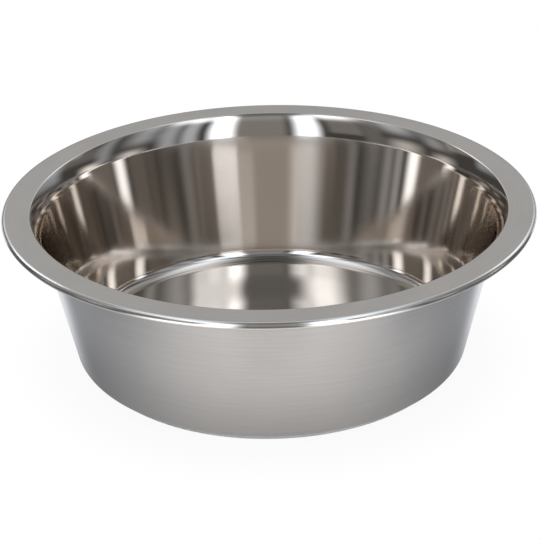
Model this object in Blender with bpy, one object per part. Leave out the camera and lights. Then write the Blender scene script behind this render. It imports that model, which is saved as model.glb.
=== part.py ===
"""A stainless steel pet bowl with a rolled rim, standing on a bonded non-slip ring.

The bowl is deep drawn from one round sheet. Its half section is drawn as a sharp outline of the
upper face, from the middle of the floor out to the rim, and each corner is then bent to its own
radius. The lower face lies one sheet thickness behind it all the way, round the curl too. The
ring's section is drawn the same way, under the flat edge of the floor. Each closed section is
turned about the Z axis. The origin is on the table, under the centre.
"""

import math

import bpy
from mathutils import Vector

# Overall sizes, in metres
RIM_DIAMETER = 0.280
HEIGHT = 0.087
SHEET = 0.0006

# The rim: a flat flange whose outer edge is curled under into a hollow bead
FLANGE_WIDTH = 0.0147
BEAD_DIAMETER = 0.0040
BEAD_TURN = math.radians(290)

# The mouth: the flange tips over into a sloped shoulder, which rolls smoothly into the wall
MOUTH_BEND = 0.0012
SHOULDER_DROP = 0.0056
SHOULDER_SLOPE = math.radians(38)
SHOULDER_BEND = 0.0284

# The drawn wall, leaning in towards the base
WALL_TAPER = math.radians(12.3)
CORNER_BEND = 0.0065

# The floor: a level margin round a wide panel that lies a little lower
PANEL_DIAMETER = 0.112
PANEL_DEPTH = 0.0008
PANEL_SLOPE = math.radians(2.3)
PANEL_BEND = 0.380

# The non-slip ring, bonded under the floor's margin, so that the steel stands clear of the table
RING_WIDTH = 0.0078
RING_HEIGHT = 0.0025
RING_EDGE = 0.0008
BOND_LINE = 0.0003

# Facets
ROUND_STEPS = 72
BEND_STEP = math.radians(24)
LONGEST_CHORD = 0.004

STEEL_COLOUR = (0.62, 0.60, 0.57, 1.0)
STEEL_ROUGHNESS = 0.22
RUBBER_COLOUR = (0.50, 0.50, 0.49, 1.0)
RUBBER_ROUGHNESS = 0.6


def rim_radius():
    return RIM_DIAMETER / 2


def mouth_edge():
    """Sharp corner where the flange tips over into the shoulder."""
    return Vector((rim_radius() - FLANGE_WIDTH, HEIGHT))


def shoulder_foot():
    """Sharp corner between the shoulder and the wall."""
    return mouth_edge() - Vector((SHOULDER_DROP * math.tan(SHOULDER_SLOPE), SHOULDER_DROP))


def floor_level():
    """Height of the floor's upper face at its margin, one sheet above the bonded ring."""
    return RING_HEIGHT + BOND_LINE + SHEET


def wall_foot():
    """Sharp corner between the floor and the wall."""
    top = shoulder_foot()
    return Vector((top.x - (top.y - floor_level()) * math.tan(WALL_TAPER), floor_level()))


def seat_radius():
    """Outer radius of the flat underside, where the bend up to the wall begins."""
    # A bend takes up its radius times the tangent of half its turn on either side of its corner
    return wall_foot().x - CORNER_BEND * math.tan((math.pi / 2 - WALL_TAPER) / 2)


def sharp_outline():
    """Corners of the upper face from the axis out to the flange's end, as (point, bend radius)."""
    panel = floor_level() - PANEL_DEPTH
    panel_edge = Vector((PANEL_DIAMETER / 2, panel))
    margin_edge = Vector((panel_edge.x + PANEL_DEPTH / math.tan(PANEL_SLOPE), floor_level()))
    return [
        (Vector((0, panel)), 0),
        (panel_edge, PANEL_BEND),
        (margin_edge, PANEL_BEND),
        (wall_foot(), CORNER_BEND),
        (shoulder_foot(), SHOULDER_BEND),
        (mouth_edge(), MOUTH_BEND),
        (Vector((rim_radius() - BEAD_DIAMETER / 2, HEIGHT)), 0),
    ]


def arc(centre, start, turn):
    """Points and outward normals of the upper face round a bend, where a positive turn is to the left."""
    radius = (start - centre).length
    steps = max(math.ceil(abs(turn) / BEND_STEP), math.ceil(radius * abs(turn) / LONGEST_CHORD))
    stations = []
    for i in range(steps + 1):
        spoke = (start - centre).copy()
        angle = turn * i / steps
        spoke = Vector((
            spoke.x * math.cos(angle) - spoke.y * math.sin(angle),
            spoke.x * math.sin(angle) + spoke.y * math.cos(angle),
        ))
        # The lower face is further from the centre of a bend to the left, and nearer on one to the right
        stations.append((centre + spoke, spoke.normalized() * math.copysign(1, turn)))
    return stations


def bend(before, corner, after, radius):
    """Stations round one corner of the outline, bent to a radius."""
    along = (corner - before).normalized()
    onward = (after - corner).normalized()
    turn = math.atan2(along.cross(onward), along.dot(onward))
    start = corner - along * radius * math.tan(abs(turn) / 2)
    left = Vector((-along.y, along.x)) * math.copysign(1, turn)
    return arc(start + left * radius, start, turn)


def sheet_stations():
    """Points on the upper face with the direction through the sheet, from the axis to the curl's cut edge."""
    outline = sharp_outline()
    stations = [(outline[0][0], Vector((0, -1)))]
    for (before, _), (corner, radius), (after, _) in zip(outline, outline[1:], outline[2:]):
        stations += bend(before, corner, after, radius)
    flange_end = outline[-1][0]
    curl_centre = flange_end - Vector((0, BEAD_DIAMETER / 2))
    return stations + arc(curl_centre, flange_end, -BEAD_TURN)


def plain_material(name, colour, metallic, roughness):
    material = bpy.data.materials.new(name)
    material.use_nodes = True
    shader = material.node_tree.nodes["Principled BSDF"]
    shader.inputs["Base Color"].default_value = colour
    shader.inputs["Metallic"].default_value = metallic
    shader.inputs["Roughness"].default_value = roughness
    return material


def turned(name, section, closed, material):
    """A body of revolution from the points of its half section, which run down its outer side."""
    edges = [(i, i + 1) for i in range(len(section) - 1)]
    if closed:
        edges.append((len(section) - 1, 0))
    mesh = bpy.data.meshes.new(name)
    mesh.from_pydata([(point.x, 0, point.y) for point in section], edges, [])
    body = bpy.data.objects.new(name, mesh)
    bpy.context.scene.collection.objects.link(body)
    turning = body.modifiers.new("turned section", "SCREW")
    turning.axis = "Z"
    turning.angle = math.tau
    turning.steps = turning.render_steps = ROUND_STEPS
    turning.use_merge_vertices = True
    turning.merge_threshold = 0.00001
    turning.use_smooth_shade = True
    mesh.materials.append(material)
    return body


def make_bowl():
    stations = sheet_stations()
    upper = [point for point, _ in stations]
    lower = [point + through * SHEET for point, through in reversed(stations)]
    steel = plain_material("stainless_steel", STEEL_COLOUR, 1.0, STEEL_ROUGHNESS)
    # Both faces end on the axis, so turning the open section closes it
    return turned("bowl", upper + lower, False, steel)


def make_non_slip_ring():
    outside = seat_radius()
    inside = outside - RING_WIDTH
    outer_top, outer_foot = Vector((outside, RING_HEIGHT)), Vector((outside, 0))
    inner_foot, inner_top = Vector((inside, 0)), Vector((inside, RING_HEIGHT))
    section = [outer_top]
    section += [point for point, _ in bend(outer_top, outer_foot, inner_foot, RING_EDGE)]
    section += [point for point, _ in bend(outer_foot, inner_foot, inner_top, RING_EDGE)]
    section.append(inner_top)
    rubber = plain_material("grey_rubber", RUBBER_COLOUR, 0.0, RUBBER_ROUGHNESS)
    return turned("non_slip_ring", section, True, rubber)


for old in list(bpy.data.objects):
    bpy.data.objects.remove(old)
make_bowl()
make_non_slip_ring()
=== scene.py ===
"""A drawn stainless steel pet bowl with a rolled rim, on a white studio floor.

The bowl is one turned section of the sheet with four finishes, and it stands on a turned rubber
ring. Polished steel shows little but its surroundings, so much of the script is the studio.
"""

import math

import bpy
import numpy as np
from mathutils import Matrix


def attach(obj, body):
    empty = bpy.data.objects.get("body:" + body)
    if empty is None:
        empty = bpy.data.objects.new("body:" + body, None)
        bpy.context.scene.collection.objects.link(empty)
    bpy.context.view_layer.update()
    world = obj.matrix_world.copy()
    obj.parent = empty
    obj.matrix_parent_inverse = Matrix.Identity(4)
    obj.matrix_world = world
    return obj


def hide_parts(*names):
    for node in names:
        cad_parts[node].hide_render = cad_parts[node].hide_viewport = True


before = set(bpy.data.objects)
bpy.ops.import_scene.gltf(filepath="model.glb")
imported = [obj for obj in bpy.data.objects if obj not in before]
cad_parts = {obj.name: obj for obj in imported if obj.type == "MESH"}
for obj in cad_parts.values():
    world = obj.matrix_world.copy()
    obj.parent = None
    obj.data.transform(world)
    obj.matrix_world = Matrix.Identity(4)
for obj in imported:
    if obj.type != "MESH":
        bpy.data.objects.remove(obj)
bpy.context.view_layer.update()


# The bowl is one round sheet of stainless steel, deep drawn in a press: a level floor with a wide
# panel a little lower in its middle, a tapered wall that rolls over into a flat flange, and no cut
# edge left to touch, because the flange's edge is rolled under into a hollow bead.

RIM_RADIUS = 0.140
HEIGHT = 0.087
SHEET = 0.0006
FLANGE_WIDTH = 0.0147
BEAD_RADIUS = 0.0020
BEAD_TURN = math.radians(290)
MOUTH_BEND = 0.0012
SHOULDER_DROP = 0.0056
SHOULDER_SLOPE = math.radians(38)
SHOULDER_BEND = 0.0284
WALL_TAPER = math.radians(12.3)
CORNER_BEND = 0.0065
STEEL_FOOT = 0.0028
PANEL_RADIUS = 0.056
PANEL_DEPTH = 0.0008
PANEL_SLOPE = math.radians(2.3)
PANEL_BEND = 0.380

# How finely it is cut: each straight, the angle between a bend's cuts, the bead, and all round
STRAIGHT_CUTS = [6, 1, 2, 24, 1, 2]
BEND_CUT = math.radians(3)
BEAD_STEPS = 40
ROUND_STEPS = 360

# The outline's sides are numbered from the middle of the floor
FLANGE_SIDE, BEAD_SIDE = 5, 6
INSIDE, FLANGE, OUTSIDE, BEAD = range(4)

# Marks in the finish: press waves and smudges to the metre, and how fast a polishing line changes
# on its way round the bowl
WAVES = 28.0
SMUDGES = 38.0
LINE_CHANGE = 3.0


def bent_profile(corners, bends, straights, spacing):
    """Upper face of the sheet: a sharp outline whose corners are bent to a radius.

    A bend of radius r and turn t begins r tan(t/2) before its corner, and runs on a circle that
    touches both sides. The straights between are cut into equal lengths. Returns the points, the
    unit normals out of the metal and the number of the outline's side that each point lies on.
    """
    points, normals, sides = [], [], []
    along = np.diff(corners, axis=0)
    along /= np.linalg.norm(along, axis=1, keepdims=True)
    start = corners[0]
    for side, (corner, bend) in enumerate(zip(corners[1:], [*bends, 0])):
        ahead = along[side]
        left = np.array([-ahead[1], ahead[0]])
        turn = 0.0
        if side + 1 < len(along):
            turn = math.atan2(left @ along[side + 1], ahead @ along[side + 1])
        end = corner - ahead * bend * math.tan(abs(turn) / 2)
        share = np.linspace(0, 1, straights[side] + 1)[:, None]
        points.append(start + (end - start) * share)
        normals.append(np.tile(left, (len(share), 1)))
        sides.append(np.full(len(share), side))
        if turn:
            hand = math.copysign(1, turn)
            cuts = max(3, math.ceil(abs(turn) / spacing))
            angle = np.linspace(0, turn, cuts + 1)[1:, None]
            spoke = -left * hand * bend
            across = np.array([-spoke[1], spoke[0]])
            swung = spoke * np.cos(angle) + across * np.sin(angle)
            start = end - spoke + swung[-1]
            # The next straight begins with the bend's last point, so it is left out here
            points.append(end - spoke + swung[:-1])
            normals.append(-swung[:-1] / bend * hand)
            sides.append(np.full(cuts - 1, side + 0.5))
    return np.concatenate(points), np.concatenate(normals), np.concatenate(sides)


def rolled_bead(centre, radius, turn, steps):
    """A circle run clockwise from its top through the turn, and its outward normals."""
    angle = np.linspace(0, turn, steps + 1)[1:, None]
    spoke = np.concatenate([np.sin(angle), np.cos(angle)], 1)
    return centre + radius * spoke, spoke


def turned(section):
    """Rings of vertices, one for each point of the section: x = r cos a, y = r sin a, z as it is."""
    angle = np.arange(ROUND_STEPS) * (2 * math.pi / ROUND_STEPS)
    radius, height = section[:, :1], section[:, 1:]
    rings = [radius * np.cos(angle), radius * np.sin(angle), height + 0 * angle]
    return np.stack(rings, -1).reshape(-1, 3)


def strips(rings):
    """Quads that join each ring of vertex numbers to the next."""
    beside = np.roll(rings, -1, axis=1)
    quads = np.stack([rings[:-1], rings[1:], beside[1:], beside[:-1]], -1)
    return quads.reshape(-1, 4).tolist()


def capped(section):
    """A turned section whose two ends lie on the axis and become one vertex each."""
    first, last = [[0, 0, section[0, 1]]], [[0, 0, section[-1, 1]]]
    return np.concatenate([first, turned(section[1:-1]), last])


def placed(name, vertices, faces):
    """A mesh object at the origin, linked into the scene."""
    mesh = bpy.data.meshes.new(name)
    mesh.from_pydata(vertices.tolist(), [], faces)
    mesh.shade_smooth()
    piece = bpy.data.objects.new(name, mesh)
    bpy.context.scene.collection.objects.link(piece)
    return piece


class Wire:
    """A shader node's output. Arithmetic on it adds Math nodes, and node() adds any other node."""

    def __init__(self, tree, socket=None):
        self.tree, self.socket = tree, socket

    def node(self, kind, settings=None, inputs=None, output=0):
        made = self.tree.nodes.new(kind)
        for name, value in (settings or {}).items():
            setattr(made, name, value)
        for name, value in (inputs or {}).items():
            if isinstance(value, Wire):
                value.into(made, name)
            else:
                made.inputs[name].default_value = value
        return Wire(self.tree, made.outputs[output])

    def into(self, node, name):
        self.tree.links.new(self.socket, node.inputs[name])

    def part(self, axis):
        """The vector's X, Y or Z."""
        return self.node("ShaderNodeSeparateXYZ", inputs={0: self}, output=axis)

    def maths(self, operation, *values):
        return self.node("ShaderNodeMath", {"operation": operation}, dict(enumerate(values)))

    def vector(self, operation, inputs, output=0):
        return self.node("ShaderNodeVectorMath", {"operation": operation}, inputs, output)

    def noise(self, scale, detail):
        """Noise from 0 to 1, read at the place that this vector gives."""
        inputs = {"Vector": self, "Scale": scale, "Detail": detail}
        return self.node("ShaderNodeTexNoise", inputs=inputs)

    def smooth(self, low, high, start=0.0, end=1.0):
        """An S-shaped run from start to end, while this value goes from low to high."""
        ends = {"Value": self, "From Min": low, "From Max": high, "To Min": start, "To Max": end}
        return self.node("ShaderNodeMapRange", {"interpolation_type": "SMOOTHSTEP"}, ends)

    def blend(self, first, second):
        """The first colour where this value is 0 and the second where it is 1."""
        inputs = {"Factor": self, "A": first, "B": second}
        return self.node("ShaderNodeMix", {"data_type": "RGBA"}, inputs, output="Result")

    def bump(self, distance):
        """The normal over a relief of this height."""
        inputs = {"Height": self, "Distance": distance, "Strength": 1.0}
        return self.node("ShaderNodeBump", inputs=inputs)

    def __add__(self, other):
        return self.maths("ADD", self, other)

    def __sub__(self, other):
        return self.maths("SUBTRACT", self, other)

    def __rsub__(self, other):
        return self.maths("SUBTRACT", other, self)

    def __mul__(self, other):
        return self.maths("MULTIPLY", self, other)

    __radd__, __rmul__ = __add__, __mul__


def new_material(name):
    """A material with its shader, and a wire to build its nodes with."""
    material = bpy.data.materials.new(name)
    material.use_nodes = True
    return material, material.node_tree.nodes["Principled BSDF"], Wire(material.node_tree)


def steel(name, colour, roughness, stretch, wear, line_width, line_depth, wave_depth):
    """Stainless steel, polished or brushed round the bowl, so that its fine lines are rings.

    The lines are noise read along the sheet, which changes slowly round the bowl. Broad shallow
    waves are left from the press, and cloudy patches are smudges, duller and a little darker.
    """
    material, shader, wire = new_material(name)
    place = wire.node("ShaderNodeTexCoord", output="Object")
    along = wire.node("ShaderNodeAttribute", {"attribute_name": "run"}, output="Fac")
    outward = wire.node("ShaderNodeCombineXYZ", inputs={0: place.part("X"), 1: place.part("Y")})
    outward = wire.vector("NORMALIZE", {0: outward})
    line_place = wire.node("ShaderNodeCombineXYZ", inputs={
        0: outward.part("X") * LINE_CHANGE,
        1: outward.part("Y") * LINE_CHANGE,
        2: along * (1 / line_width),
    })
    lines = line_place.noise(1.0, 3.0)
    waves = place.noise(WAVES, 1.0)
    smudges = place.noise(SMUDGES, 2.0).smooth(0.25, 0.85)

    dull = tuple((1 - wear) * value for value in colour)
    shade = smudges * 0.5 + lines.smooth(0.3, 0.7) * 0.5
    shade.blend((*colour, 1), (*dull, 1)).into(shader, "Base Color")
    # Up to a fifth either side of the given roughness, with the smudges on the rougher side
    grain = (smudges + lines) * (0.2 * roughness) + 0.8 * roughness
    grain.into(shader, "Roughness")
    (lines * line_depth + waves * wave_depth).bump(1.0).into(shader, "Normal")
    shader.inputs["Metallic"].default_value = 1.0
    # A quarter turn lays the stretched highlights across the polishing lines
    shader.inputs["Anisotropic"].default_value = stretch
    shader.inputs["Anisotropic Rotation"].default_value = 0.25
    return material


floor_level = STEEL_FOOT + SHEET
mouth_edge = np.array([RIM_RADIUS - FLANGE_WIDTH, HEIGHT])
shoulder_foot = mouth_edge - [SHOULDER_DROP * math.tan(SHOULDER_SLOPE), SHOULDER_DROP]
wall_lean = (shoulder_foot[1] - floor_level) * math.tan(WALL_TAPER)
wall_foot = np.array([shoulder_foot[0] - wall_lean, floor_level])
seat_radius = wall_foot[0] - CORNER_BEND * math.tan((math.pi / 2 - WALL_TAPER) / 2)
outline = np.array([
    [0, floor_level - PANEL_DEPTH],
    [PANEL_RADIUS, floor_level - PANEL_DEPTH],
    [PANEL_RADIUS + PANEL_DEPTH / math.tan(PANEL_SLOPE), floor_level],
    wall_foot,
    shoulder_foot,
    mouth_edge,
    [RIM_RADIUS - BEAD_RADIUS, HEIGHT],
])
bends = [PANEL_BEND, PANEL_BEND, CORNER_BEND, SHOULDER_BEND, MOUTH_BEND]
upper, upper_normal, side = bent_profile(outline, bends, STRAIGHT_CUTS, BEND_CUT)
bead, bead_normal = rolled_bead(outline[-1] - [0, BEAD_RADIUS], BEAD_RADIUS, BEAD_TURN, BEAD_STEPS)
upper = np.concatenate([upper[1:], bead])
upper_normal = np.concatenate([upper_normal[1:], bead_normal])
side = np.concatenate([side[1:], np.full(BEAD_STEPS, BEAD_SIDE)])

# The lower face lies one sheet behind the upper one, and is followed back to the axis
lower = upper - SHEET * upper_normal
section = np.concatenate([upper, lower[::-1]])
section_normal = np.concatenate([upper_normal, -upper_normal[::-1]])
vertices = capped(section)
rings = 1 + np.arange(len(vertices) - 2).reshape(-1, ROUND_STEPS)
beside = np.roll(rings, -1, axis=1)
top_fan = [[0, here, there] for here, there in zip(rings[0].tolist(), beside[0].tolist())]
bottom_fan = [
    [there, here, len(vertices) - 1] for here, there in zip(rings[-1].tolist(), beside[-1].tolist())
]
bowl = placed("steel_bowl", vertices, [*top_fan, *strips(rings), *bottom_fan])
mesh = bowl.data
normals = capped(section_normal)
normals[0], normals[-1] = (0, 0, 1), (0, 0, -1)
mesh.normals_split_custom_set_from_vertices(normals.tolist())

upper_finish = np.select([side < FLANGE_SIDE, side == FLANGE_SIDE], [INSIDE, FLANGE], BEAD)
lower_finish = np.where(side == BEAD_SIDE, BEAD, OUTSIDE)
finish = np.concatenate([upper_finish, lower_finish[::-1]])
# The strips lie between the points, without the fans that close the section's two ends
finish = np.concatenate([[INSIDE], finish[1:-2], [OUTSIDE]])
mesh.polygons.foreach_set("material_index", np.repeat(finish, ROUND_STEPS).astype(np.int32))

# How far along the sheet each point is from the middle of the floor, for the polishing lines
step = np.linalg.norm(np.diff(section, axis=0), axis=1)
run = np.concatenate([[0], np.cumsum(step)])
run = np.concatenate([run[:1], np.repeat(run[1:-1], ROUND_STEPS), run[-1:]])
run_values = mesh.attributes.new("run", "FLOAT", "POINT").data
run_values.foreach_set("value", run.astype(np.float32))

mesh.materials.append(steel(
    "mirror_inside", colour=(0.70, 0.645, 0.59), roughness=0.075, stretch=0.6, wear=0.05,
    line_width=0.0006, line_depth=1.5e-7, wave_depth=3e-5,
))
mesh.materials.append(steel(
    "bright_flange", colour=(0.65, 0.64, 0.63), roughness=0.15, stretch=0.7, wear=0.09,
    line_width=0.0005, line_depth=6e-7, wave_depth=1e-5,
))
mesh.materials.append(steel(
    "satin_outside", colour=(0.635, 0.62, 0.61), roughness=0.22, stretch=0.6, wear=0.07,
    line_width=0.0010, line_depth=6e-7, wave_depth=2e-5,
))
# The bead's steel is painted paler than the rest, a painted highlight that brightens all it mirrors
mesh.materials.append(steel(
    "painted_bright_bead", colour=(0.85, 0.82, 0.78), roughness=0.20, stretch=0.90, wear=0.05,
    line_width=0.0004, line_depth=5e-8, wave_depth=1e-5,
))

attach(bowl, "root")
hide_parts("bowl")


# The non-slip ring is a flat band of pale grey rubber, bonded under the floor's margin. It lifts
# the steel off the table by its own thickness, and shows as a thin light line under the bowl. Its
# colours are painted paler still, painted light that makes up for the bowl's shadow on it.

RING_WIDTH = 0.0078
RING_EDGE = 0.0008
BOND_LINE = 0.00004
RING_CUTS = [2, 4, 2]
EDGE_CUT = math.radians(15)
# Both are painted paler than the rubber, painted light against the bowl's shadow; the cloudy change
# between them is dust
CLEAN_RUBBER_PAINTED_PALER = (0.92, 0.905, 0.89, 1)
DUSTY_RUBBER_PAINTED_PALER = (0.84, 0.825, 0.81, 1)
# Cloudy patches and grains to the metre, and the depth of the grain
CLOUDS = 90.0
GRAINS = 1500.0
GRAIN_DEPTH = 0.00002

ring_top = STEEL_FOOT - BOND_LINE
ring_outline = np.array([
    [seat_radius, ring_top],
    [seat_radius, 0],
    [seat_radius - RING_WIDTH, 0],
    [seat_radius - RING_WIDTH, ring_top],
])
ring_section = bent_profile(ring_outline, [RING_EDGE, RING_EDGE], RING_CUTS, EDGE_CUT)[0]
hoops = np.arange(len(ring_section) * ROUND_STEPS).reshape(-1, ROUND_STEPS)
# The last hoop is joined to the first, which closes the section
closed = np.concatenate([hoops, hoops[:1]])
rubber_ring = placed("rubber_ring", turned(ring_section), strips(closed))
rubber_ring.data.set_sharp_from_angle(angle=math.radians(40))

rubber, shader, wire = new_material("grey_rubber")
place = wire.node("ShaderNodeTexCoord", output="Object")
clouds = place.noise(CLOUDS, 5.0)
clouds.smooth(0.3, 0.7).blend(CLEAN_RUBBER_PAINTED_PALER, DUSTY_RUBBER_PAINTED_PALER).into(shader, "Base Color")
place.noise(GRAINS, 2.0).bump(GRAIN_DEPTH).into(shader, "Normal")
(clouds * 0.2 + 0.5).into(shader, "Roughness")
rubber_ring.data.materials.append(rubber)

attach(rubber_ring, "root")
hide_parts("non_slip_ring")


# The studio is a white floor and a ring of lamps round the bowl, and the steel mirrors all of it.
# Two tall softboxes stand behind the camera with a dark gap between them, two more stand behind
# the bowl, long banks hang under the ceiling, and the walls between are a dull warm grey.

FLOOR_RADIUS = 4.0
FLOOR_SIDES = 96
# A hair below the ring's flat face, so that the two don't share one plane
FLOOR_LEVEL = -0.0001
PAPER = (0.88, 0.88, 0.88, 1)
# Painted reflection colours of the paper, seen only in the steel, in front of the bowl and beside it
FRONT_PAINTED_REFLECTION = (1.0, 0.985, 0.97, 1)
SIDE_PAINTED_REFLECTION = (0.96, 0.99, 1.04, 1)
WHITE = (1, 1, 1, 1)

angle = np.arange(FLOOR_SIDES) * (2 * math.pi / FLOOR_SIDES)
rim = [FLOOR_RADIUS * np.cos(angle), FLOOR_RADIUS * np.sin(angle), 0 * angle + FLOOR_LEVEL]
studio_floor = placed("studio_floor", np.stack(rim, 1), [list(range(FLOOR_SIDES))])

paper, matt, wire = new_material("white_paper")
matt.inputs["Base Color"].default_value = PAPER
matt.inputs["Roughness"].default_value = 0.7
matt.inputs["Specular IOR Level"].default_value = 0.2
place = wire.node("ShaderNodeTexCoord", output="Object")
distance = wire.vector("LENGTH", {0: place}, output="Value")
sideways = wire.maths("ABSOLUTE", place.part("X"))
behind = place.part("Y")

# Pure white to the camera away from the bowl. Close to it the glow fades, a painted shadow ring, and
# a little of the matt paper shows, with its real shade
seen = wire.node("ShaderNodeLightPath", output="Is Camera Ray")
through = wire.node("ShaderNodeLightPath", output="Is Transmission Ray")
mirrored = wire.node("ShaderNodeLightPath", output="Is Glossy Ray")
white = distance.smooth(0.098, 0.15, 0.93, 1.0)

# In the steel the paper shows a painted reflection: bright in front near the bowl, duller to
# the sides, and darker at the foot, a painted shade. aside is the angle round the bowl, in
# degrees from the front.
aside = wire.maths("ARCTAN2", sideways, 0 - behind) * math.degrees(1)
near = aside.smooth(11, 76, 0.83, 0.41) * distance.smooth(0.100, 0.155, 0.57, 1.0)
# Further out it is brightest below the two tall boxes, with the photographer's shade between them
far = aside.smooth(9, 15, 0.0, 1.7) * aside.smooth(34, 52, 1.0, 0.0) + 0.12
shown = near + (far - near) * distance.smooth(0.18, 0.25)
# Behind the bowl it is white again, which brightens the wall's two outlines
back = (behind - 0.9 * sideways).smooth(-0.140, -0.085, 0.0, 0.62)
shown = shown + back * sideways.smooth(0.06, 0.09)
tint = mirrored.blend(WHITE, aside.smooth(20, 80).blend(FRONT_PAINTED_REFLECTION, SIDE_PAINTED_REFLECTION))
strength = 1 - mirrored + mirrored * shown
glow = wire.node("ShaderNodeEmission", inputs={"Color": tint, "Strength": strength})
# The glow stands in for most of the matt paper where the camera sees it, and for all of it where
# the steel mirrors it. Other light meets the paper alone, with the bowl's shadow on it.
share = (seen + through) * white + mirrored
lit_paper = wire.node(
    "ShaderNodeMixShader", inputs={0: share, 1: Wire(paper.node_tree, matt.outputs[0]), 2: glow}
)
# From below the floor is clear, so that the underside can be looked at
below = wire.node("ShaderNodeNewGeometry", output="Backfacing")
clear = wire.node("ShaderNodeBsdfTransparent")
surface = wire.node("ShaderNodeMixShader", inputs={0: below, 1: lit_paper, 2: clear})
surface.into(paper.node_tree.nodes["Material Output"], "Surface")
studio_floor.data.materials.append(paper)

# Each box: azimuth of its middle, clockwise from straight ahead of the camera, its width, its
# lowest and highest elevation and its soft edge, all in degrees, and its strength
DAYLIGHT_BOXES = [
    # A tall box on either side of the camera, and a wider one leaning in over each
    (-159, 11, -5, 50, 9, 2.5),
    (156, 11, -5, 51, 9, 2.8),
    (-140, 25, 50, 58, 20, 3.5),
    (140, 35, 45, 65, 10, 1.3),
    # The ceiling, all the way round, and two long banks under it
    (0, 400, 42, 80, 16, 0.13),
    (-85, 105, 60, 78, 15, 1.0),
    (80, 85, 62, 78, 20, 1.2),
    # Two boxes behind the bowl, the right one softer, and the paper that rises below them
    (-44, 25, 24, 44, 4, 1.4),
    (40, 26, 21, 41, 20, 1.2),
    (-35, 40, 12, 28, 8, 0.3),
    (35, 40, 6, 20, 10, 0.3),
    # Uprights along the side walls
    (-105, 18, 30, 65, 18, 0.45),
    (-85, 12, 20, 90, 10, 0.2),
    (88, 8, 5, 75, 10, 0.3),
    (110, 15, 20, 65, 20, 0.4),
    (127, 10, -5, 45, 10, 0.4),
    (139, 8, 0, 50, 6, 0.5),
]
LAMP_BOXES = [
    # The wall behind the bowl, with its duller ends
    (-1, 63, 15, 70, 7, 0.45),
    (-55, 40, 22, 54, 5, 0.2),
    (50, 40, 25, 55, 5, 0.2),
    (-80, 16, 17, 32, 8, 0.1),
    (70, 30, 17, 32, 8, 0.1),
    # Low windows at the sides
    (-105, 16, -5, 18, 15, 0.5),
    (-80, 12, -5, 10, 12, 0.55),
    (78, 11, -5, 8, 11, 1.2),
    (105, 13, -5, 10, 13, 0.75),
    # The wall behind the camera
    (175, 30, -10, 50, 6, 0.2),
    (-138, 18, 15, 50, 6, 0.15),
    (-123, 10, 0, 55, 6, 0.1),
]
# What the room shows where there is no box
WALL_GREY = 0.065
DAYLIGHT_COLOUR = (0.91, 1, 1.12)
LAMP_COLOUR = (1.02, 1, 0.98)

sky = bpy.data.worlds.new("studio")
bpy.context.scene.world = sky
sky.use_nodes = True
air = Wire(sky.node_tree)
direction = air.node("ShaderNodeTexCoord", output="Generated")
azimuth = air.maths("ARCTAN2", direction.part("X"), direction.part("Y")) * math.degrees(1)
elevation = air.maths("ARCSINE", direction.part("Z")) * math.degrees(1)


def between(value, low, high, edge):
    """1 from low to high and 0 outside, each edge softened over the given number of degrees."""
    half = edge / 2
    return value.smooth(low - half, low + half) * value.smooth(high - half, high + half, 1.0, 0.0)


def lit_by(boxes, base):
    """The light of all the boxes on top of the base level."""
    for centre, width, low, high, edge, strength in boxes:
        off = air.maths("WRAP", azimuth - centre, 180.0, -180.0)
        patch = between(off, -width / 2, width / 2, edge) * between(elevation, low, high, edge)
        base = patch * strength + base
    return base


cool = air.vector("SCALE", {0: DAYLIGHT_COLOUR, "Scale": lit_by(DAYLIGHT_BOXES, 0.0)})
warm = air.vector("SCALE", {0: LAMP_COLOUR, "Scale": lit_by(LAMP_BOXES, WALL_GREY)})
light = air.vector("ADD", {0: cool, 1: warm})
# Straight from the camera the room is plain white
plain = air.node("ShaderNodeLightPath", output="Is Camera Ray")
plain.blend(light, WHITE).into(sky.node_tree.nodes["Background"], "Color")


# The camera stands where the photograph was taken from: about a metre away, 26 degrees up, with a
# long lens and tilted a little to one side.

PITCH = math.radians(26.15)
ROLL = math.radians(-1.194)
DISTANCE = 0.99232
AIM = (-0.00007, 0.0, 0.04588)
SENSOR_WIDTH = 36.0
FOCAL_LENGTH = 123.33

lens = bpy.data.cameras.new("camera")
lens.sensor_width = SENSOR_WIDTH
lens.lens = FOCAL_LENGTH
lens.clip_start, lens.clip_end = 0.05, 50.0
camera = bpy.data.objects.new("camera", lens)
back_off, lift = DISTANCE * math.cos(PITCH), DISTANCE * math.sin(PITCH)
camera.location = (AIM[0], AIM[1] - back_off, AIM[2] + lift)
camera.rotation_mode = "ZYX"
camera.rotation_euler = (math.pi / 2 - PITCH, 0, ROLL)
bpy.context.scene.collection.objects.link(camera)
bpy.context.scene.camera = camera
bpy.context.scene.view_settings.view_transform = "Standard"
# Light crosses the polished inside many times before it leaves
bpy.context.scene.cycles.glossy_bounces = 16
bpy.context.scene.cycles.max_bounces = 20
